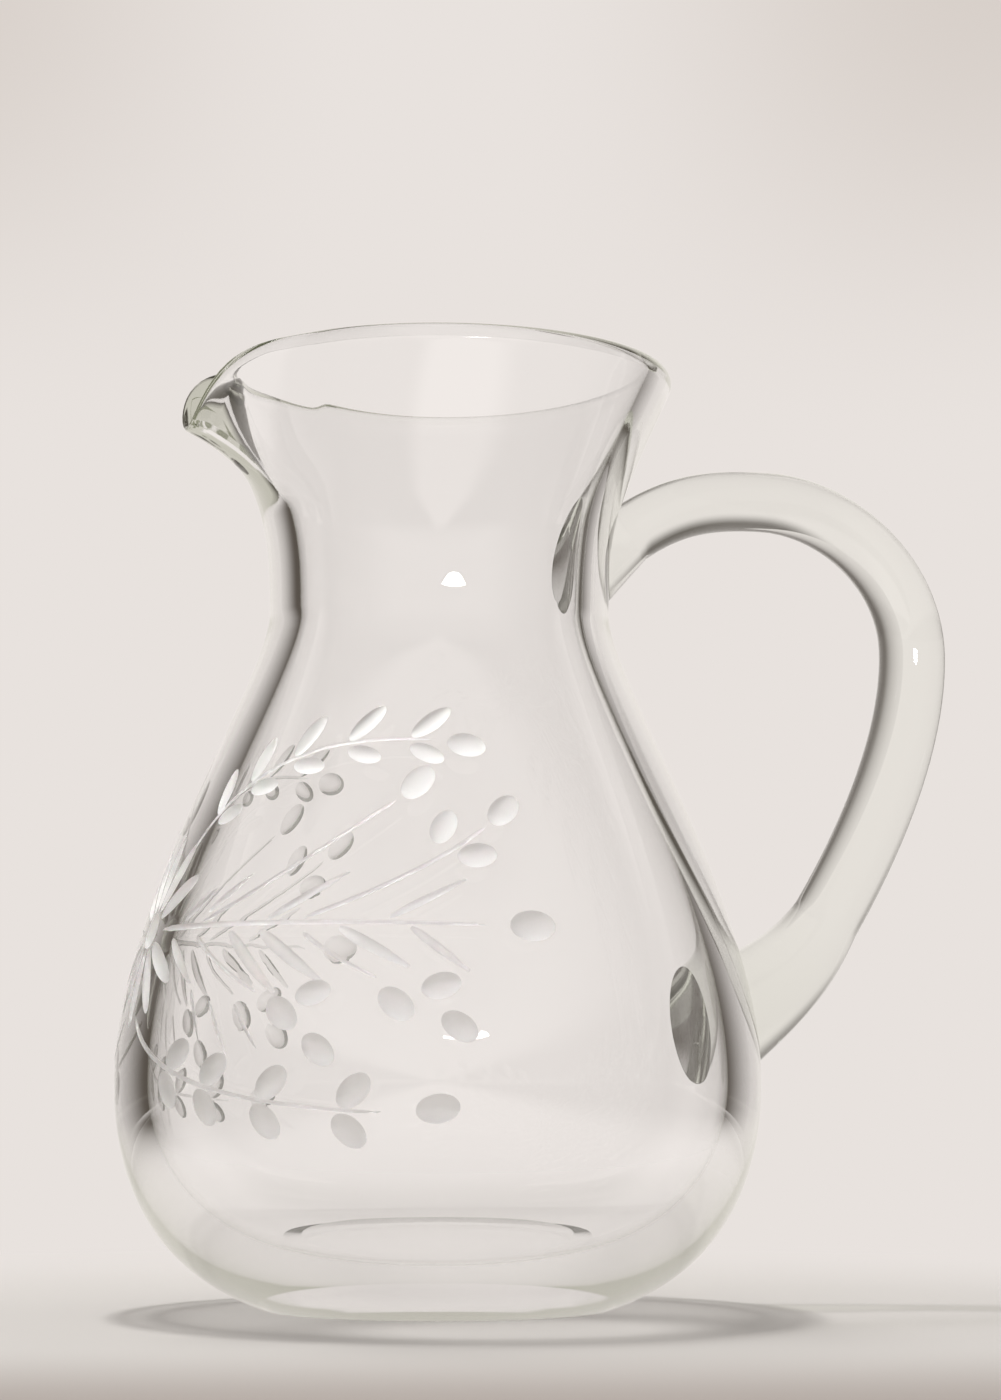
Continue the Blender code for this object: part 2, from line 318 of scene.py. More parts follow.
# Wheel-cut sprig on one half of the bowl. Places are degrees round from the lip and millimetres above the
# base. Stems: four points of a curve, and the widths of the cut at both ends in millimetres.
ARCHES = (
    ((5.0, 100.0), (12.0, 124.0), (36.0, 135.0), (71.0, 132.0), 1.2, 0.8),
    ((3.0, 70.0), (10.0, 58.0), (30.0, 49.0), (64.0, 47.5), 1.7, 0.8),
)
STEMS = (
    ((5.0, 89.8), (30.0, 90.4), (56.0, 90.0), (81.0, 89.0), 1.6, 0.8),
    ((20.0, 90.5), (35.0, 97.0), (50.0, 110.0), (62.0, 118.5), 1.2, 0.9),
    ((44.0, 90.5), (60.0, 97.0), (72.0, 105.0), (80.0, 112.0), 1.2, 0.9),
    ((20.0, 88.0), (26.0, 82.0), (32.0, 78.0), (38.0, 74.0), 1.3, 0.8),
    ((45.0, 88.0), (50.0, 83.0), (55.0, 80.0), (60.0, 77.0), 1.3, 0.8),
)
# Blades and tendrils: both ends, and the greatest width of the cut in millimetres.
BLADES = (
    ((37.0, 90.6), (54.0, 102.0), 2.0),
    ((61.0, 90.6), (76.0, 100.0), 1.9),
    ((22.0, 93.0), (32.0, 102.0), 1.8),
    ((15.0, 91.5), (23.0, 99.0), 1.9),
    ((29.0, 88.6), (42.0, 73.0), 2.9),
    ((36.0, 88.6), (51.0, 75.5), 3.1),
    ((52.0, 88.8), (66.0, 79.0), 2.9),
    ((65.0, 88.8), (76.0, 78.0), 2.2),
    ((12.0, 87.5), (22.0, 76.0), 2.7),
    ((22.0, 75.5), (26.0, 63.0), 1.1),
    ((27.0, 73.0), (33.0, 59.0), 1.1),
    ((33.0, 72.0), (39.0, 61.0), 1.1),
)
# Buds: place of the middle, direction in degrees, and share of the full size.
BUDS = (
    ((87.0, 89.0), 0.0, 1.15),
    ((65.5, 122.0), 50.0, 1.0),
    ((83.5, 115.5), 45.0, 0.95),
    ((71.0, 111.5), 65.0, 0.9),
    ((77.5, 105.0), 5.0, 0.95),
    ((43.0, 69.5), -40.0, 1.0),
    ((48.5, 74.0), 15.0, 0.9),
    ((50.0, 61.5), -40.0, 0.95),
    ((63.0, 71.5), -40.0, 1.0),
    ((70.5, 75.5), 15.0, 0.95),
    ((73.5, 66.5), -35.0, 0.95),
    ((70.0, 48.5), 8.0, 1.05),
    ((76.5, 131.0), -10.0, 0.95),
)
# Pairs of leaves along an arch. First and step are shares of the arch; up and down are the leaves' turns from
# the stem in degrees; off_up and off_down are how far their middles lie off the stem, as shares of the leaf's
# length; below is the lower leaf's length as a share of the upper one's; pointed is the upper leaf's shape.
LeafRow = namedtuple("LeafRow", "arch first step pairs up down off_up off_down below pointed")
UPPER_LEAVES = LeafRow(ARCHES[0], 0.30, 0.165, 5, 42.0, -24.0, 0.42, 0.34, 0.75, True)
LOWER_LEAVES = LeafRow(ARCHES[1], 0.42, 0.165, 4, 50.0, -38.0, 0.50, 0.48, 1.00, False)
ARCH_PARTS = 100  # parts into which an arch is divided to place its leaves
STEP_BACK = 2  # parts by which a pair stands back from its place, and over which the stem's way is taken
UPPER_LEAN = 12.0  # degrees between an upper leaf's direction and the way from the stem to its middle
LOWER_LEAN = 30.0  # the same for a lower leaf
PETAL_START = 34.0  # degrees from the level to the first petal of each half of the flower
PETAL_SPAN = 112.0  # degrees from the first to the last petal of a half
PETAL_OVERLAP = 0.001  # how far the petals reach over the disc's edge
NARROW_DEPTH = 0.25  # added to a narrow hollow's share of the full width to give its share of the full depth
GROOVE_WHEEL = 0.62  # radius of the wheel that cuts a groove, as a share of the groove's greatest width
WHEEL_OFF = 1.05  # height of that wheel's middle where a groove has run out, in its radii
CUT_ZONE = (0.035, 0.145)  # heights between which the wall carries cuts


class FoliageSettings(bpy.types.PropertyGroup):
    """Sizes of the wheel cuts."""

    flower_height: length("Flower Height", 0.0898, "Middle of the flower under the lip, above the base")
    disc_width: length("Disc Width", 0.0090, "Width of the flower's middle")
    petal_length: length("Petal Length", 0.0205, "Length of a petal")
    petal_width: length("Petal Width", 0.0048, "Width of a petal")
    leaf_length: length("Leaf Length", 0.0122, "Length of a leaf on the upper arch")
    leaf_width: length("Leaf Width", 0.0044, "Width of a leaf on the upper arch")
    bud_length: length("Bud Length", 0.0100, "Length of a bud and of a leaf on the lower arch")
    bud_width: length("Bud Width", 0.0064, "Width of a bud and of a leaf on the lower arch")
    cut_depth: length("Cut Depth", 0.0013, "Depth of the leaves and buds")
    lift: share("Lift", 0.72, "How far the wheel's middle stays off the wall, as a share of its radius")
    petals: IntProperty(name="Petals", description="Petals of the flower", default=10, min=4)


def wall_frame(wall, place, side):
    """Point of the outer wall and its directions: round the bowl from the lip, up the wall, outwards."""
    turn = math.radians(place[0])
    height = place[1] / 1000.0
    radial = Vector((-math.cos(turn), -side * math.sin(turn), 0.0))
    along = Vector((math.sin(turn), -side * math.cos(turn), 0.0))
    rise = (radial * slope_at(wall, height) + Vector((0.0, 0.0, 1.0))).normalized()
    point = radial * radius_at(wall, height) + Vector((0.0, 0.0, height))
    return point, along, rise, along.cross(rise) * side


def moved(wall, place, way, distance):
    """Place on the wall at a distance from another one, in a direction in degrees above the level."""
    turn = math.radians(way)
    radius = radius_at(wall, place[1] / 1000.0)
    round_wall = math.degrees(distance * math.cos(turn) / radius)
    return place[0] + round_wall, place[1] + 1000.0 * distance * math.sin(turn)


def stem_points(stem, count):
    """Places along a stem."""
    corners = [Vector(corner_shade) for corner_shade in stem[:4]]
    return [tuple(point) for point in interpolate_bezier(*corners, count)]


def stem_heading(wall, before, after):
    """Direction of a stem in degrees above the level."""
    radius = 1000.0 * radius_at(wall, before[1] / 1000.0)
    across = math.radians(after[0] - before[0]) * radius
    return math.degrees(math.atan2(after[1] - before[1], across))


def grind(piece, tool):
    """Cuts with a tool and gives the cut its ground finish, the piece's second material."""
    for face in tool.data.polygons:
        face.material_index = 1
    cut(piece, tool)


def wheel(pointed):
    """Rounded wheel of unit radius, as wide as it is long, or drawn out to points for leaves and petals."""
    start_piece()
    bpy.ops.mesh.primitive_uv_sphere_add(segments=32, ring_count=16, radius=1.0)
    tool = bpy.context.object
    if pointed:
        for vertex in tool.data.vertices:
            x, y, z = vertex.co
            pinch = max(1.0 - x * x, 0.0) ** 0.25
            vertex.co = (x, y * pinch, z * pinch)
    return tool


def cut_olives(piece, wall, foliage, olives):
    """Cuts hollows: each has a place, a direction, a length, a width, a side, and whether it is pointed."""
    tools = {pointed: wheel(pointed) for pointed in (False, True)}
    copies = []
    for place, way, long, wide, side, pointed in olives:
        point, along, rise, out = wall_frame(wall, place, side)
        turn = math.radians(way)
        ahead = along * math.cos(turn) + rise * math.sin(turn)
        across = (rise * math.cos(turn) - along * math.sin(turn)) * side
        lift = foliage.lift
        # Half length and half width of the unit wheel where it enters the wall.
        reach = math.sqrt(1.0 - lift ** (4.0 / 3.0 if pointed else 2.0))
        spread = math.sqrt(1.0 - lift**2)
        depth = foliage.cut_depth * min(1.0, wide / foliage.bud_width + NARROW_DEPTH)
        high = depth / (1.0 - lift)
        axes = (ahead * long / 2 / reach, across * wide / 2 / spread, out * high, point + out * high * lift)
        copy = tools[pointed].copy()
        copy.data = tools[pointed].data.copy()
        rows = [[axis[row] for axis in axes] for row in range(3)]
        copy.data.transform(Matrix([*rows, [0.0, 0.0, 0.0, 1.0]]))
        bpy.context.collection.objects.link(copy)
        copies.append(copy)
    start_piece()
    for copy in copies:
        copy.select_set(True)
    bpy.context.view_layer.objects.active = copies[0]
    bpy.ops.object.join()
    grind(piece, bpy.context.object)
    for tool in tools.values():
        bpy.data.objects.remove(tool, do_unlink=True)


def cut_grooves(piece, wall, grooves):
    """Cuts grooves with the edge of a wheel: each has its places with the widths in mm, and its side."""
    start_piece()
    bpy.ops.curve.primitive_bezier_curve_add(location=(0.0, 0.0, 0.0))
    tool = bpy.context.object
    tool.data.splines.clear()
    for track, side in grooves:
        radius = GROOVE_WHEEL * max(width for _, width in track) / 1000.0
        spline = tool.data.splines.new("POLY")
        spline.points.add(len(track) - 1)
        for knot, (place, width) in zip(spline.points, track):
            point, _, _, out = wall_frame(wall, place, side)
            lift = math.sqrt(radius**2 - (width / 2000.0) ** 2) if width > 0.0 else radius * WHEEL_OFF
            knot.co = (*(point + out * lift), 1.0)
            knot.radius = radius
    tool.data.bevel_depth = 1.0
    tool.data.bevel_resolution = 4
    tool.data.use_fill_caps = True
    bpy.ops.object.convert(target="MESH")
    close_seams(GROOVE_DOUBLES)
    grind(piece, bpy.context.object)


def stem_track(stem, count=40, run_out=3.0):
    """Places of a stem with the width of its cut, run out over a few of them at both ends."""
    track = []
    for index, place in enumerate(stem_points(stem, count)):
        share_along = index / (count - 1)
        ends = min(1.0, index / run_out, (count - 1 - index) / run_out)
        track.append((place, ends * (stem[4] + (stem[5] - stem[4]) * share_along)))
    return track


def blade_track(blade, count=21, early=0.7, fullness=0.6):
    """Places of a blade with the width of its cut, which is full and widest before its middle."""
    (turn_a, high_a), (turn_b, high_b), wide = blade
    track = []
    for index in range(count):
        part = index / (count - 1)
        place = (turn_a + (turn_b - turn_a) * part, high_a + (high_b - high_a) * part)
        swell = math.sin(math.pi * part**early) ** fullness if 0 < index < count - 1 else 0.0
        track.append((place, wide * swell))
    return track


def leaf_olives(wall, row, long, wide, side):
    """Hollows of the leaves above and below an arch's stem."""
    points = stem_points(row.arch, ARCH_PARTS + 1)
    olives = []
    for index in range(row.pairs):
        knot = round(ARCH_PARTS * (row.first + row.step * index)) - STEP_BACK
        way = stem_heading(wall, points[knot - STEP_BACK], points[knot])
        above = moved(wall, points[knot], way + row.up + UPPER_LEAN, long * row.off_up)
        below = moved(wall, points[knot], way + row.down - LOWER_LEAN, long * row.off_down)
        olives.append((above, way + row.up, long, wide, side, row.pointed))
        olives.append((below, way + row.down, long * row.below, wide, side, False))
    return olives


def petal_olives(wall, foliage, middle):
    """Hollows of the flower's petals, fanned out above and below its middle."""
    half = foliage.petals // 2
    olives = []
    for index in range(foliage.petals):
        way = (PETAL_START + PETAL_SPAN * (index % half) / (half - 1)) * (1 if index < half else -1)
        place = moved(wall, middle, way, (foliage.disc_width + foliage.petal_length) / 2 - PETAL_OVERLAP)
        olives.append((place, way, foliage.petal_length, foliage.petal_width, 1, True))
    return olives


class PITCHER_OT_cut_foliage(bpy.types.Operator):
    """Cut the sprigs into the bowl with wheels and leave the cuts matt"""

    bl_idname = "pitcher.cut_foliage"
    bl_label = "Cut Foliage"

    def execute(self, context):
        body = context.scene.pitcher_body
        foliage = context.scene.pitcher_foliage
        piece = bpy.data.objects["body_glass"]
        wall = outer_outline(body)
        olives = []
        for side in (1, -1):
            for place, way, size in BUDS:
                olives.append((place, way, size * foliage.bud_length, size * foliage.bud_width, side, False))
            olives += leaf_olives(wall, UPPER_LEAVES, foliage.leaf_length, foliage.leaf_width, side)
            olives += leaf_olives(wall, LOWER_LEAVES, foliage.bud_length, foliage.bud_width, side)
        cut_olives(piece, wall, foliage, olives)
        middle = (0.0, 1000.0 * foliage.flower_height)
        petals = petal_olives(wall, foliage, middle)
        disc = (middle, 0.0, foliage.disc_width, foliage.disc_width, 1, False)
        cut_olives(piece, wall, foliage, petals[0::2])
        cut_olives(piece, wall, foliage, petals[1::2])
        cut_olives(piece, wall, foliage, [disc])
        both = [(stem_track(stem), side) for side in (1, -1) for stem in ARCHES + STEMS[:1]]
        cut_grooves(piece, wall, both)
        both = [(stem_track(stem), side) for side in (1, -1) for stem in STEMS[1:]]
        cut_grooves(piece, wall, both)
        for start in (0, 1):
            both = [(blade_track(blade), side) for side in (1, -1) for blade in BLADES[start::2]]
            cut_grooves(piece, wall, both)
        bpy.ops.object.mode_set(mode="EDIT")
        bpy.ops.mesh.select_all(action="SELECT")
        bpy.ops.mesh.dissolve_degenerate(threshold=SLIVERS)
        bpy.ops.object.mode_set(mode="OBJECT")
        smooth_round_cuts(piece, wall)
        return {"FINISHED"}


def smooth_round_cuts(piece, wall):
    """Keeps the wall's own roundness right up to the cuts, and their borders crisp."""
    mesh = piece.data
    ground = [face.material_index == 1 for face in mesh.polygons]
    owners = {}
    for face in mesh.polygons:
        for key in face.edge_keys:
            owners.setdefault(key, []).append(face.index)
    for edge in mesh.edges:
        faces = owners[tuple(sorted(edge.vertices))]
        if len({ground[index] for index in faces}) > 1:
            edge.use_edge_sharp = True
        elif ground[faces[0]]:
            bend = mesh.polygons[faces[0]].normal.angle(mesh.polygons[faces[-1]].normal, 0.0)
            edge.use_edge_sharp = bend > CUT_CREASE
    low, high = CUT_ZONE
    normals = [Vector((0.0, 0.0, 0.0))] * len(mesh.loops)
    for face in mesh.polygons:
        face.use_smooth = True
        x, y, z = face.center
        if ground[face.index] or not low < z < high or face.normal.x * x + face.normal.y * y < 0.0:
            continue
        for loop in face.loop_indices:
            x, y, z = mesh.vertices[mesh.loops[loop].vertex_index].co
            radial = Vector((x, y, 0.0)).normalized()
            normals[loop] = (radial - Vector((0.0, 0.0, slope_at(wall, z)))).normalized()
    mesh.normals_split_custom_set(normals)


def handle_route(body, rod):
    """Points of the rod's middle line from the neck to the belly: place, heading, radius and next hold."""
    upper = heading(rod.upper_weld_slope)
    bend = heading(rod.bend_slope)
    lower = heading(rod.lower_weld_slope)
    wall = outer_outline(body)
    neck_height = body.height - rod.upper_weld_below_rim
    neck = Vector((radius_at(wall, neck_height), neck_height))
    belly_height = body.belly_height + rod.lower_weld_above_belly
    belly = Vector((radius_at(wall, belly_height), belly_height))
    crest = neck + Vector((rod.crest_from_neck, rod.crest_above_upper_weld))
    reach = Vector((body.belly_radius + rod.reach_past_belly, crest.y - rod.reach_below_crest))
    turn_in = belly + Vector((rod.bend_from_wall, rod.bend_above_lower_weld))
    return [
        (neck - upper * rod.trim_depth, upper, rod.upper_pad_radius, rod.hold),
        (neck + upper * rod.upper_pad_length, upper, rod.crest_radius, rod.hold),
        (crest, heading(0.0), rod.crest_radius, rod.hold),
        (reach, -UP, rod.reach_radius, rod.long_hold),
        (turn_in, -bend, rod.bend_radius, rod.hold),
        (belly - lower * rod.trim_depth, -lower, rod.lower_pad_radius, rod.hold),
    ]


class PITCHER_OT_draw_handle(bpy.types.Operator):
    """Loop the drawn rod from the neck to the belly and weld both its ends to the body"""

    bl_idname = "pitcher.draw_handle"
    bl_label = "Draw Handle"

    def execute(self, context):
        body = context.scene.pitcher_body
        rod = context.scene.pitcher_handle
        route = handle_route(body, rod)
        start_piece()
        bpy.ops.curve.primitive_bezier_curve_add(location=(0.0, 0.0, 0.0))
        piece = context.object
        piece.name = "handle_glass"
        spline = piece.data.splines[0]
        spline.bezier_points.add(len(route) - len(spline.bezier_points))
        for index, (place, way, radius, hold) in enumerate(route):
            last_place, _, _, last_hold = route[max(index - 1, 0)]
            next_place = route[min(index + 1, len(route) - 1)][0]
            left = place - way * (place - last_place).length * last_hold
            right = place + way * (next_place - place).length * hold
            point = spline.bezier_points[index]
            point.handle_left_type = "FREE"
            point.handle_right_type = "FREE"
            point.co = (place.x, 0.0, place.y)
            point.handle_left = (left.x, 0.0, left.y)
            point.handle_right = (right.x, 0.0, right.y)
            point.radius = radius
        piece.data.bevel_depth = 1.0
        piece.data.bevel_resolution = 22
        piece.data.resolution_u = 28
        piece.data.use_fill_caps = True
        bpy.ops.object.convert(target="MESH")
        piece = context.object
        close_seams(DOUBLES)
        sunk = [point - Vector((rod.melt, 0.0)) for point in outer_outline(body)]
        core = [Vector((0.0, sunk[-1].y))] + sunk[::-1] + [Vector((0.0, sunk[0].y))]
        cut(piece, turn_on_axis("weld_core", core, body.turn_steps))
        bpy.ops.object.shade_smooth_by_angle(angle=ROD_CREASE)
        piece.data.materials.clear()
        piece.data.materials.append(rod_glass())
        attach(piece, "root")
        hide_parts("applied_handle")
        return {"FINISHED"}


def add_node(tree, kind, inputs=None, **settings):
    """Adds a node, sets its properties, and sets or links its inputs."""
    node = tree.nodes.new(kind)
    for name, value in settings.items():
        setattr(node, name, value)
    for name, value in (inputs or {}).items():
        if isinstance(value, bpy.types.NodeSocket):
            tree.links.new(value, node.inputs[name])
        else:
            node.inputs[name].default_value = value
    return node


def new_material(name):
    """Empty node material with its output node."""
    material = bpy.data.materials.new(name)
    material.use_nodes = True
    material.node_tree.nodes.clear()
    return material, add_node(material.node_tree, "ShaderNodeOutputMaterial")


def opaque(colour_value):
    """Colour as a node's socket takes it."""
    return (*colour_value, 1.0)


def between(value, low, high, least=0.0):
    """Inputs of a Map Range node: the least share at one end and all of it at the other."""
    return {"Value": value, "From Min": low, "From Max": high, "To Min": least}


# Settings that many nodes share.
EASED = {"interpolation_type": "SMOOTHSTEP"}
DOT = {"operation": "DOT_PRODUCT"}
TIMES = {"operation": "MULTIPLY"}
LARGER = {"operation": "MAXIMUM"}
TIMES_PLUS = {"operation": "MULTIPLY_ADD"}
COLOURS = {"data_type": "RGBA"}

GLASS_IOR = 1.52
TRAPPED_BOUNCES = 2.5  # light that is reflected more often than this counts as trapped in the glass
GRAZE = 3.0  # how closely the shade of glass keeps to its edges
GROUND_OPEN = 0.32  # share of the light that ground glass lets through from outside
GROUND_OPEN_INSIDE = 0.60  # how much more it lets through from inside the glass


def let_lamps_through(tree, shader):
    """Lets lamps shine through glass and dims them where they graze it, which gives the ring of shadow that
    glass throws on a table."""
    facing = add_node(tree, "ShaderNodeLayerWeight", {"Blend": 0.5}).outputs["Facing"]
    grazing = add_node(tree, "ShaderNodeMath", {0: facing, 1: GRAZE}, operation="POWER").outputs[0]
    shades = {0: grazing, 6: opaque(linear("fdfdfd")), 7: opaque(linear("615f5d"))}
    shade = add_node(tree, "ShaderNodeMix", shades, **COLOURS).outputs[2]
    through = add_node(tree, "ShaderNodeBsdfTransparent", {"Color": shade})
    path = add_node(tree, "ShaderNodeLightPath")
    sides = {0: path.outputs["Is Shadow Ray"], 1: shader.outputs[0], 2: through.outputs[0]}
    return add_node(tree, "ShaderNodeMixShader", sides)


def soda_glass(name, inputs, long_path_tint_and_shade=None):
    """Soda glass with the given finish, its shader and its output. Light that is trapped inside it leaves
    straight, because the renderer would drop it and show black; where a long-path colour is given, it takes
    that: partly the glass's own tint along the long path, partly painted shade that darkens the glass's
    edges."""
    material, output = new_material(name)
    tree = material.node_tree
    clear = {"IOR": GLASS_IOR, "Transmission Weight": 1.0, **inputs}
    glass = add_node(tree, "ShaderNodeBsdfPrincipled", clear)
    bounces = add_node(tree, "ShaderNodeLightPath").outputs["Glossy Depth"]
    limit = {0: bounces, 1: TRAPPED_BOUNCES}
    trapped = add_node(tree, "ShaderNodeMath", limit, operation="GREATER_THAN").outputs[0]
    bend = add_node(tree, "ShaderNodeMath", {0: trapped, 1: 1.0 - GLASS_IOR, 2: GLASS_IOR}, **TIMES_PLUS)
    tree.links.new(bend.outputs[0], glass.inputs["IOR"])
    if long_path_tint_and_shade:
        # painted shade: light trapped in the glass takes a dark olive, partly the glass's own tint
        tints = {0: trapped, 6: inputs["Base Color"], 7: long_path_tint_and_shade}
        tint = add_node(tree, "ShaderNodeMix", tints, **COLOURS)
        tree.links.new(tint.outputs[2], glass.inputs["Base Color"])
    tree.links.new(let_lamps_through(tree, glass).outputs[0], output.inputs["Surface"])
    return material, glass, output


def polished_glass():
    """Fire-polished soda glass: clear and bright, with mirror-sharp reflections, and dark olive where the eye
    looks along the wall, at the rim, the lip and the base: partly the glass's own tint, partly painted shade."""
    inputs = {"Base Color": opaque(linear("fefefe")), "Roughness": 0.0}
    return soda_glass("fire_polished_soda_glass", inputs, long_path_tint_and_shade=opaque(linear("b1b5a4")))[0]


def rod_glass():
    """Fire-polished soda glass of the thick rod: the grey-green of soda glass shows along its length."""
    inputs = {"Base Color": opaque(linear("ffffff")), "Roughness": 0.0}
    material, _, output = soda_glass("fire_polished_soda_glass_rod", inputs)
    body_colour = {"Color": opaque(linear("bcc8a6")), "Density": 9.0}
    absorption = add_node(material.node_tree, "ShaderNodeVolumeAbsorption", body_colour)
    material.node_tree.links.new(absorption.outputs[0], output.inputs["Volume"])
    return material


def ground_glass():
    """Soda glass left matt by the wheel: a pale, soft, frosted white that shows light and shade like a solid.
    Seen from inside the glass, it is a faint veil that lets most of the light behind it through."""
    inputs = {"Base Color": opaque(linear("fdfcfb")), "Roughness": 0.45, "Transmission Weight": GROUND_OPEN}
    material, glass, _ = soda_glass("wheel_ground_soda_glass", inputs)
    tree = material.node_tree
    inside = add_node(tree, "ShaderNodeNewGeometry").outputs["Backfacing"]
    opened = {0: inside, 1: GROUND_OPEN_INSIDE, 2: GROUND_OPEN}
    passed = add_node(tree, "ShaderNodeMath", opened, **TIMES_PLUS)
    tree.links.new(passed.outputs[0], glass.inputs["Transmission Weight"])
    return material


class StageSettings(bpy.types.PropertyGroup):
    """Backdrop, lamps and camera. Lamps stand to the right of, ahead of and above the pitcher's base."""

    backdrop: colour("Backdrop", "e8e2de", "Pale studio backdrop")
    # painted light: the backdrop as the glass shows it is brighter than the backdrop itself
    bright: colour("Bright Backdrop", "f1ebe7", "Backdrop as the glass shows it, straight behind the pitcher")
    # painted shade: the backdrop darker towards the upper corners
    corner_shade: colour("Backdrop Corner", "d8d0ca", "Backdrop towards the upper corners of the picture")
    room: colour("Room", "6a655f", "Dim room that the glass shows beside and above the backdrop")
    floor: colour("Floor", "eee9e4", "Pale matt table top")
    # painted shade: the table top's darker colour towards the camera
    floor_front_shade: colour("Floor Front", "c8beb7", "Table top where it falls away towards the camera")
    card: colour("Card", "5a534c", "Dark cards at both sides of the backdrop")
    card_depth: length("Card Depth", 0.20, "How far the cards stand behind the pitcher")
    card_left: length("Card Left", 0.140, "From the pitcher's axis to the left card")
    card_right: length("Card Right", 0.174, "From the pitcher's axis to the right card")
    card_width: length("Card Width", 1.20, "Width of each card")
    card_height: length("Card Height", 0.60, "Height of each card")
    card_middle: length("Card Middle", 0.25, "Height of a card's middle above the table")
    card_fall: length("Card Fall", 0.170, "Over what width a card darkens away from the backdrop")
    even: colour("Even Light", "fffdfb", "Light from all round on matt surfaces")
    even_strength: share("Even Strength", 0.40, "Strength of the light from all round")
    overhead_power: power("Overhead Power", 8.0, "Lamp above the table, which throws the shadow")
    overhead_place: offset("Overhead Place", (-0.12, 0.40, 1.25), "Where the lamp above the table hangs")
    overhead_width: length("Overhead Width", 0.15, "Width of the lamp above the table")
    front_power: power("Front Power", 1.4, "Lamp above the camera, which is mirrored in the glass")
    front_place: offset("Front Place", (0.20, -1.20, 0.352), "Where the lamp above the camera stands")
    front_width: length("Front Width", 0.33, "Width of the lamp above the camera")
    front_depth: length("Front Depth", 0.055, "Height of the lamp above the camera")
    front_aim: length("Front Aim", 0.17, "Height at which that lamp is aimed")
    fill_power: power("Fill Power", 0.085, "Narrow lamp that lights the body's cuts")
    fill_place: offset("Fill Place", (-0.42, -0.42, 1.00), "Where the narrow lamp stands")
    fill_width: length("Fill Width", 0.10, "Width of the narrow lamp")
    fill_aim: length("Fill Aim", 0.125, "Height at which the narrow lamp is aimed")
    fill_spread: angle("Fill Spread", 14.0, "Spread of the narrow lamp")
    camera_distance: length("Camera Distance", 0.7981, "From the body's axis")
    camera_height: length("Camera Height", 0.0539, "Above the table")
    camera_turn: angle("Camera Turn", 20.0, "How far the lip is turned towards the camera")
    camera_pitch: angle("Camera Pitch", 6.718, "How far the camera looks up")
    camera_pan: angle("Camera Pan", 1.088, "How far the camera looks past the axis")
    lens: FloatProperty(name="Lens", description="Focal length in mm", default=83.79, min=1.0, unit="CAMERA")


TABLE_SIZE = 6.0
TABLE_GAP = 0.0003  # keeps the table clear of the ground base
# Where the table's looks change, in metres from the pitcher as the camera looks: none of it, then all of it.
FRONT_SHADE = (-0.110, -0.250)  # the table is painted darker towards the camera: painted shade
LEFT_FALL = (-0.105, -0.240)  # the glass shows it as dark as the cards to the left: a painted dark reflection
RIGHT_FALL = (0.150, 0.300)  # and to the right
CARD_REACH = (0.040, -0.060)  # but only in front of the cards, from which this one is measured
FAR_FADE = (0.10, 0.30)  # it runs out into the backdrop all round
BEHIND_FADE = (0.02, 0.12)  # but only behind the pitcher
CLEAR_FADE = (0.10, 0.17)  # the glass shows it glowing, without its shadow: painted light
CLEAR_LEAST = 0.6  # and by this share under the pitcher
# Where the surroundings change as the camera looks.
DIM_SIDE = (math.radians(66.0), math.radians(86.0))  # bearing at which the dim room begins
DIM_BACK = (math.radians(150.0), math.radians(105.0))  # bearing at which it ends, behind the camera
DIM_BACK_LEAST = 0.6  # share of the dimness that stays there
DIM_ABOVE = (math.sin(math.radians(24.0)), math.sin(math.radians(48.0)))  # height of the dim room above
CORNER_WIDE = (0.02, 0.16)  # how far aside the painted shade of the backdrop's corners lies
CORNER_HIGH = (0.19, 0.33)  # and how high
CARD_START = 0.25  # share of a card's fall that lies before its edge


def view_way(stage):
    """Level direction in which the camera looks, and the direction to its right."""
    turn = stage.camera_turn
    return (math.sin(turn), math.cos(turn), 0.0), (math.cos(turn), -math.sin(turn), 0.0)


def stage_point(stage, distances):
    """Point at distances to the right of, ahead of and above the middle of the base, as the camera looks."""
    ahead, aside = (Vector(way) for way in view_way(stage))
    right, forward, up = distances
    return aside * right + ahead * forward + Vector((0.0, 0.0, up))


def seen_by(tree, names):
    """1 for the named kinds of rays, as long as they come straight from the eye by way of gloss and glass."""
    path = add_node(tree, "ShaderNodeLightPath").outputs
    kind = path[names[0]]
    for name in names[1:]:
        kind = add_node(tree, "ShaderNodeMath", {0: kind, 1: path[name]}, **LARGER).outputs[0]
    limit = {0: path["Diffuse Depth"], 1: 0.5}
    straight = add_node(tree, "ShaderNodeMath", limit, operation="LESS_THAN").outputs[0]
    return add_node(tree, "ShaderNodeMath", {0: kind, 1: straight}, **TIMES).outputs[0]


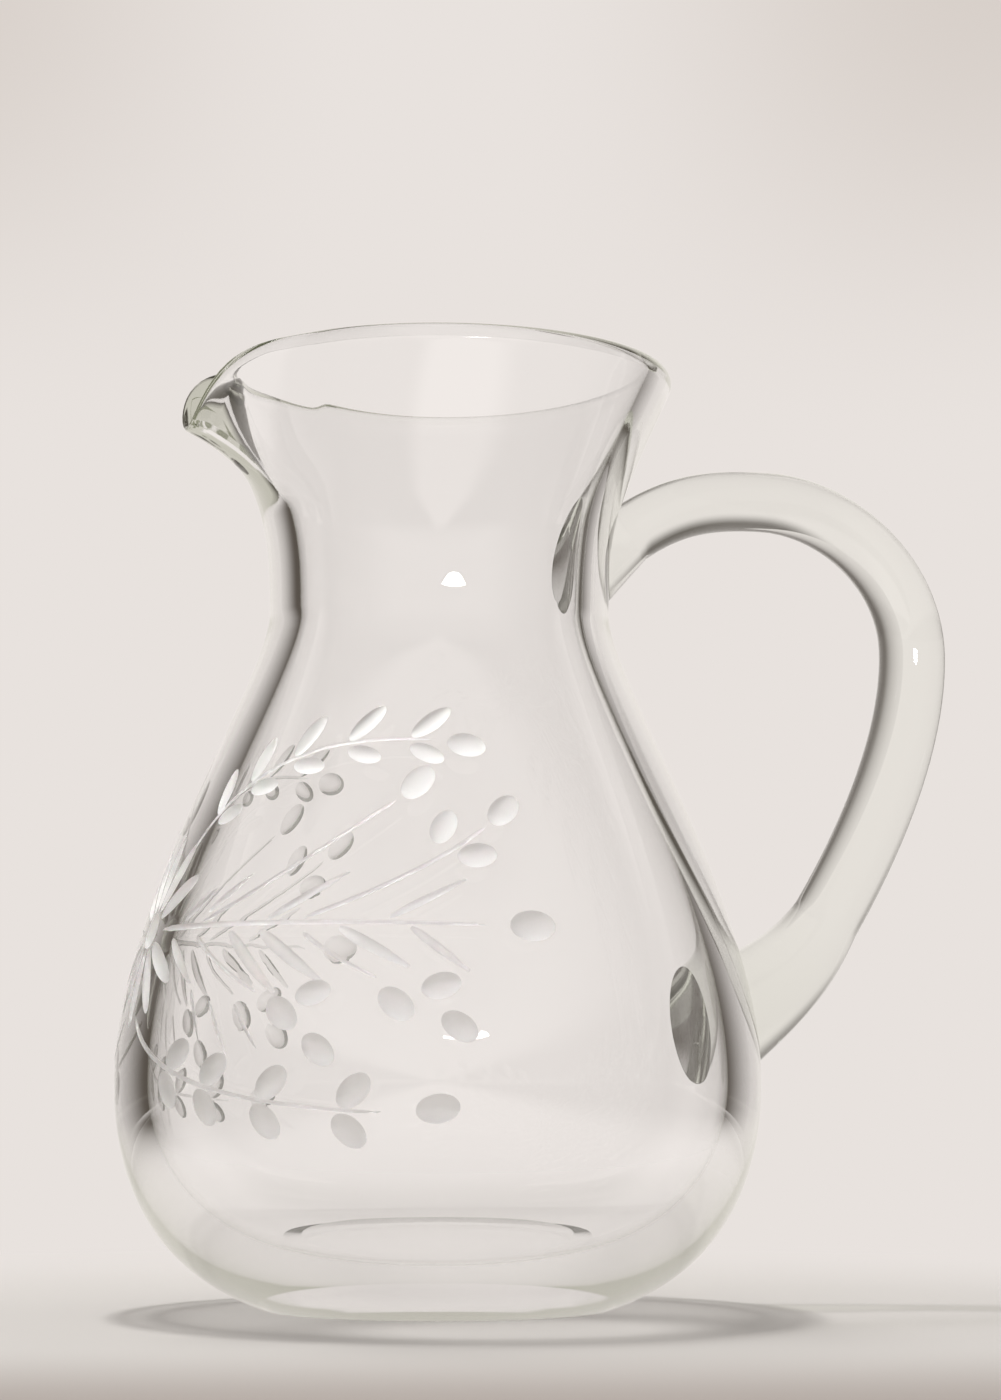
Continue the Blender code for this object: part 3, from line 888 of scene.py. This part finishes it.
def matt_table(stage):
    """Matt pale table top, painted darker towards the camera as painted shade. It keeps the shadow near the
    pitcher and runs out into the backdrop's colour, and the glass shows it glowing: painted light behind the
    pitcher and painted dark reflections at both sides."""
    material, output = new_material("matt_pale_table")
    tree = material.node_tree
    place = add_node(tree, "ShaderNodeTexCoord").outputs["Object"]
    ahead, aside = view_way(stage)
    away = add_node(tree, "ShaderNodeVectorMath", {0: place}, operation="LENGTH").outputs["Value"]
    depth = add_node(tree, "ShaderNodeVectorMath", {0: place, 1: ahead}, **DOT).outputs["Value"]
    sideways = add_node(tree, "ShaderNodeVectorMath", {0: place, 1: aside}, **DOT).outputs["Value"]
    # painted shade: the table top darkens towards the camera
    front = add_node(tree, "ShaderNodeMapRange", between(depth, *FRONT_SHADE), **EASED).outputs[0]
    tops = {0: front, 6: opaque(stage.floor), 7: opaque(stage.floor_front_shade)}
    top = add_node(tree, "ShaderNodeMix", tops, **COLOURS).outputs[2]
    matt = add_node(tree, "ShaderNodeBsdfDiffuse", {"Color": top})
    left = add_node(tree, "ShaderNodeMapRange", between(sideways, *LEFT_FALL), **EASED).outputs[0]
    right = add_node(tree, "ShaderNodeMapRange", between(sideways, *RIGHT_FALL), **EASED).outputs[0]
    either = add_node(tree, "ShaderNodeMath", {0: left, 1: right}, **LARGER).outputs[0]
    reach = [stage.card_depth + past for past in CARD_REACH]
    before = add_node(tree, "ShaderNodeMapRange", between(depth, *reach), **EASED).outputs[0]
    beside = add_node(tree, "ShaderNodeMath", {0: either, 1: before}, **TIMES).outputs[0]
    # painted light and reflection: seen through the glass the table glows bright behind the pitcher and as
    # dark as the cards beside it
    glass_shades = {0: beside, 6: opaque(stage.bright), 7: opaque(stage.card)}
    in_glass = add_node(tree, "ShaderNodeMix", glass_shades, **COLOURS).outputs[2]
    direct = seen_by(tree, ["Is Camera Ray"])
    seen_shades = {0: direct, 6: in_glass, 7: opaque(stage.backdrop)}
    seen = add_node(tree, "ShaderNodeMix", seen_shades, **COLOURS).outputs[2]
    glow = add_node(tree, "ShaderNodeEmission", {"Color": seen})
    far = add_node(tree, "ShaderNodeMapRange", between(away, *FAR_FADE), **EASED).outputs[0]
    behind = add_node(tree, "ShaderNodeMapRange", between(depth, *BEHIND_FADE), **EASED).outputs[0]
    fade = add_node(tree, "ShaderNodeMath", {0: far, 1: behind}, **TIMES).outputs[0]
    plain = add_node(tree, "ShaderNodeMath", {0: direct, 1: fade}, **TIMES).outputs[0]
    by_glass = seen_by(tree, ["Is Glossy Ray", "Is Transmission Ray"])
    clear = add_node(tree, "ShaderNodeMapRange", between(away, *CLEAR_FADE, CLEAR_LEAST), **EASED).outputs[0]
    through = add_node(tree, "ShaderNodeMath", {0: by_glass, 1: clear}, **TIMES).outputs[0]
    shown = add_node(tree, "ShaderNodeMath", {0: plain, 1: through}, **LARGER).outputs[0]
    mix = add_node(tree, "ShaderNodeMixShader", {0: shown, 1: matt.outputs[0], 2: glow.outputs[0]})
    tree.links.new(mix.outputs[0], output.inputs["Surface"])
    return material


def light_world(stage):
    """Bright backdrop behind the pitcher, a dim room beside and above it, and even light on matt surfaces.
    The world is found by rays alone, because lamps would count it twice through glass."""
    world = bpy.data.worlds.new("pale_studio")
    world.use_nodes = True
    world.cycles.sampling_method = "NONE"
    tree = world.node_tree
    tree.nodes.clear()
    output = add_node(tree, "ShaderNodeOutputWorld")
    way = add_node(tree, "ShaderNodeTexCoord").outputs["Generated"]
    ahead, aside = view_way(stage)
    forward = add_node(tree, "ShaderNodeVectorMath", {0: way, 1: ahead}, **DOT).outputs["Value"]
    right = add_node(tree, "ShaderNodeVectorMath", {0: way, 1: aside}, **DOT).outputs["Value"]
    height = add_node(tree, "ShaderNodeSeparateXYZ", {0: way}).outputs["Z"]
    bearing = add_node(tree, "ShaderNodeMath", {0: right, 1: forward}, operation="ARCTAN2").outputs[0]
    side = add_node(tree, "ShaderNodeMath", {0: bearing}, operation="ABSOLUTE").outputs[0]
    dim_side = add_node(tree, "ShaderNodeMapRange", between(side, *DIM_SIDE), **EASED).outputs[0]
    back = between(side, *DIM_BACK, DIM_BACK_LEAST)
    dim_back = add_node(tree, "ShaderNodeMapRange", back, **EASED).outputs[0]
    dim_above = add_node(tree, "ShaderNodeMapRange", between(height, *DIM_ABOVE), **EASED).outputs[0]
    dim_beside = add_node(tree, "ShaderNodeMath", {0: dim_side, 1: dim_back}, **TIMES).outputs[0]
    dim = add_node(tree, "ShaderNodeMath", {0: dim_beside, 1: dim_above}, **LARGER).outputs[0]
    # painted light: the glass shows the backdrop brighter than the camera sees it
    around = {0: dim, 6: opaque(stage.bright), 7: opaque(stage.room)}
    picture = add_node(tree, "ShaderNodeMix", around, **COLOURS).outputs[2]
    mirrored = add_node(tree, "ShaderNodeBackground", {"Color": picture})
    # painted shade: the backdrop darkens towards the picture's upper corners
    off_centre = add_node(tree, "ShaderNodeMath", {0: right}, operation="ABSOLUTE").outputs[0]
    wide = add_node(tree, "ShaderNodeMapRange", between(off_centre, *CORNER_WIDE), **EASED).outputs[0]
    high = add_node(tree, "ShaderNodeMapRange", between(height, *CORNER_HIGH), **EASED).outputs[0]
    corner_shade = add_node(tree, "ShaderNodeMath", {0: wide, 1: high}, **TIMES).outputs[0]
    walls = {0: corner_shade, 6: opaque(stage.backdrop), 7: opaque(stage.corner_shade)}
    wall = add_node(tree, "ShaderNodeMix", walls, **COLOURS).outputs[2]
    plain = add_node(tree, "ShaderNodeBackground", {"Color": wall})
    camera = add_node(tree, "ShaderNodeLightPath").outputs["Is Camera Ray"]
    seen = add_node(tree, "ShaderNodeMixShader", {0: camera, 1: mirrored.outputs[0], 2: plain.outputs[0]})
    light = {"Color": opaque(stage.even), "Strength": stage.even_strength}
    even = add_node(tree, "ShaderNodeBackground", light)
    shows = seen_by(tree, ["Is Camera Ray", "Is Glossy Ray", "Is Transmission Ray"])
    mix = add_node(tree, "ShaderNodeMixShader", {0: shows, 1: even.outputs[0], 2: seen.outputs[0]})
    tree.links.new(mix.outputs[0], output.inputs["Surface"])
    bpy.context.scene.world = world


def add_card(name, stage, near, side):
    """Dark card beside the backdrop, out of the picture, which gives the glass its dark edges: a glowing
    sheet seen only in the glass, painted with the shade of the unlit room and painted darker away from the
    backdrop. Side is -1 on the left and 1 on the right."""
    start_piece()
    bpy.ops.mesh.primitive_plane_add(size=1.0)
    card = bpy.context.object
    card.name = name
    card.scale = (stage.card_width, stage.card_height, 1.0)
    card.rotation_euler = (math.pi / 2, 0.0, -stage.camera_turn)
    middle = side * (near + stage.card_width / 2)
    card.location = stage_point(stage, (middle, stage.card_depth, stage.card_middle))
    bpy.ops.object.transform_apply(location=True, rotation=True, scale=True)
    material, output = new_material(name)
    tree = material.node_tree
    place = add_node(tree, "ShaderNodeTexCoord").outputs["Object"]
    outwards = Vector(view_way(stage)[1]) * side
    away = add_node(tree, "ShaderNodeVectorMath", {0: place, 1: outwards}, **DOT).outputs["Value"]
    # painted shade: the card darkens away from the backdrop
    edge = between(away, near - stage.card_fall * CARD_START, near + stage.card_fall)
    fall = add_node(tree, "ShaderNodeMapRange", edge, **EASED).outputs[0]
    shades = {0: fall, 6: opaque(stage.bright), 7: opaque(stage.card)}
    shade = add_node(tree, "ShaderNodeMix", shades, **COLOURS).outputs[2]
    glow = add_node(tree, "ShaderNodeEmission", {"Color": shade})
    tree.links.new(glow.outputs[0], output.inputs["Surface"])
    card.data.materials.append(material)
    card.visible_camera = False
    card.visible_diffuse = False
    card.visible_shadow = False


def add_lamp(name, place, aim, size, watts):
    """Soft lamp that is aimed at a height on the axis and stays out of the picture, through the glass too."""
    way = Vector((0.0, 0.0, aim)) - place
    turn = way.to_track_quat("-Z", "Y").to_euler()
    bpy.ops.object.light_add(type="AREA", location=place, rotation=turn)
    lamp = bpy.context.object
    lamp.name = name
    lamp.visible_camera = False
    lamp.visible_transmission = False
    lamp.data.shape = "ELLIPSE"
    lamp.data.size, lamp.data.size_y = size
    lamp.data.energy = watts
    return lamp


class PITCHER_OT_set_stage(bpy.types.Operator):
    """Set the table, the backdrop, the lamps and the camera"""

    bl_idname = "pitcher.set_stage"
    bl_label = "Set Stage"

    def execute(self, context):
        stage = context.scene.pitcher_stage
        start_piece()
        bpy.ops.mesh.primitive_plane_add(size=TABLE_SIZE, location=(0.0, 0.0, -TABLE_GAP))
        floor = context.object
        floor.name = "table_top"
        floor.data.materials.append(matt_table(stage))
        light_world(stage)
        add_card("left_card", stage, stage.card_left, -1.0)
        add_card("right_card", stage, stage.card_right, 1.0)
        above = stage_point(stage, stage.overhead_place)
        front = stage_point(stage, stage.front_place)
        left = stage_point(stage, stage.fill_place)
        round_top = (stage.overhead_width, stage.overhead_width)
        flat_front = (stage.front_width, stage.front_depth)
        round_fill = (stage.fill_width, stage.fill_width)
        overhead = add_lamp("overhead_lamp", above, 0.0, round_top, stage.overhead_power)
        overhead.visible_glossy = False
        add_lamp("front_lamp", front, stage.front_aim, flat_front, stage.front_power)
        fill = add_lamp("fill_lamp", left, stage.fill_aim, round_fill, stage.fill_power)
        fill.visible_glossy = False
        fill.data.spread = stage.fill_spread
        lit = bpy.data.collections.new("lit_by_fill_lamp")
        lit.objects.link(bpy.data.objects["body_glass"])
        fill.light_linking.receiver_collection = lit
        place = stage_point(stage, (0.0, -stage.camera_distance, stage.camera_height))
        look = (math.pi / 2 + stage.camera_pitch, 0.0, -stage.camera_turn - stage.camera_pan)
        bpy.ops.object.camera_add(location=place, rotation=look)
        camera = context.object
        camera.data.lens = stage.lens
        camera.data.sensor_width = 36.0
        camera.data.clip_start = 0.01
        context.scene.camera = camera
        context.scene.view_settings.view_transform = "Standard"
        return {"FINISHED"}


class PITCHER_PT_panel(bpy.types.Panel):
    """Buttons for the pieces and the stage"""

    bl_label = "Glass Pitcher"
    bl_idname = "PITCHER_PT_panel"
    bl_space_type = "VIEW_3D"
    bl_region_type = "UI"
    bl_category = "Pitcher"

    def draw(self, context):
        for operator in OPERATORS:
            self.layout.operator(operator.bl_idname)


OPERATORS = (PITCHER_OT_blow_body, PITCHER_OT_cut_foliage, PITCHER_OT_draw_handle, PITCHER_OT_set_stage)
SETTINGS = {
    "pitcher_body": BodySettings,
    "pitcher_foliage": FoliageSettings,
    "pitcher_handle": HandleSettings,
    "pitcher_stage": StageSettings,
}


def register():
    for kind in (*SETTINGS.values(), *OPERATORS, PITCHER_PT_panel):
        bpy.utils.register_class(kind)
    for name, kind in SETTINGS.items():
        setattr(bpy.types.Scene, name, PointerProperty(type=kind))


def unregister():
    for name in SETTINGS:
        delattr(bpy.types.Scene, name)
    for kind in reversed((*SETTINGS.values(), *OPERATORS, PITCHER_PT_panel)):
        bpy.utils.unregister_class(kind)


def main():
    register()
    bpy.ops.pitcher.blow_body()
    bpy.ops.pitcher.cut_foliage()
    bpy.ops.pitcher.draw_handle()
    bpy.ops.pitcher.set_stage()


if __name__ == "__main__":
    main()
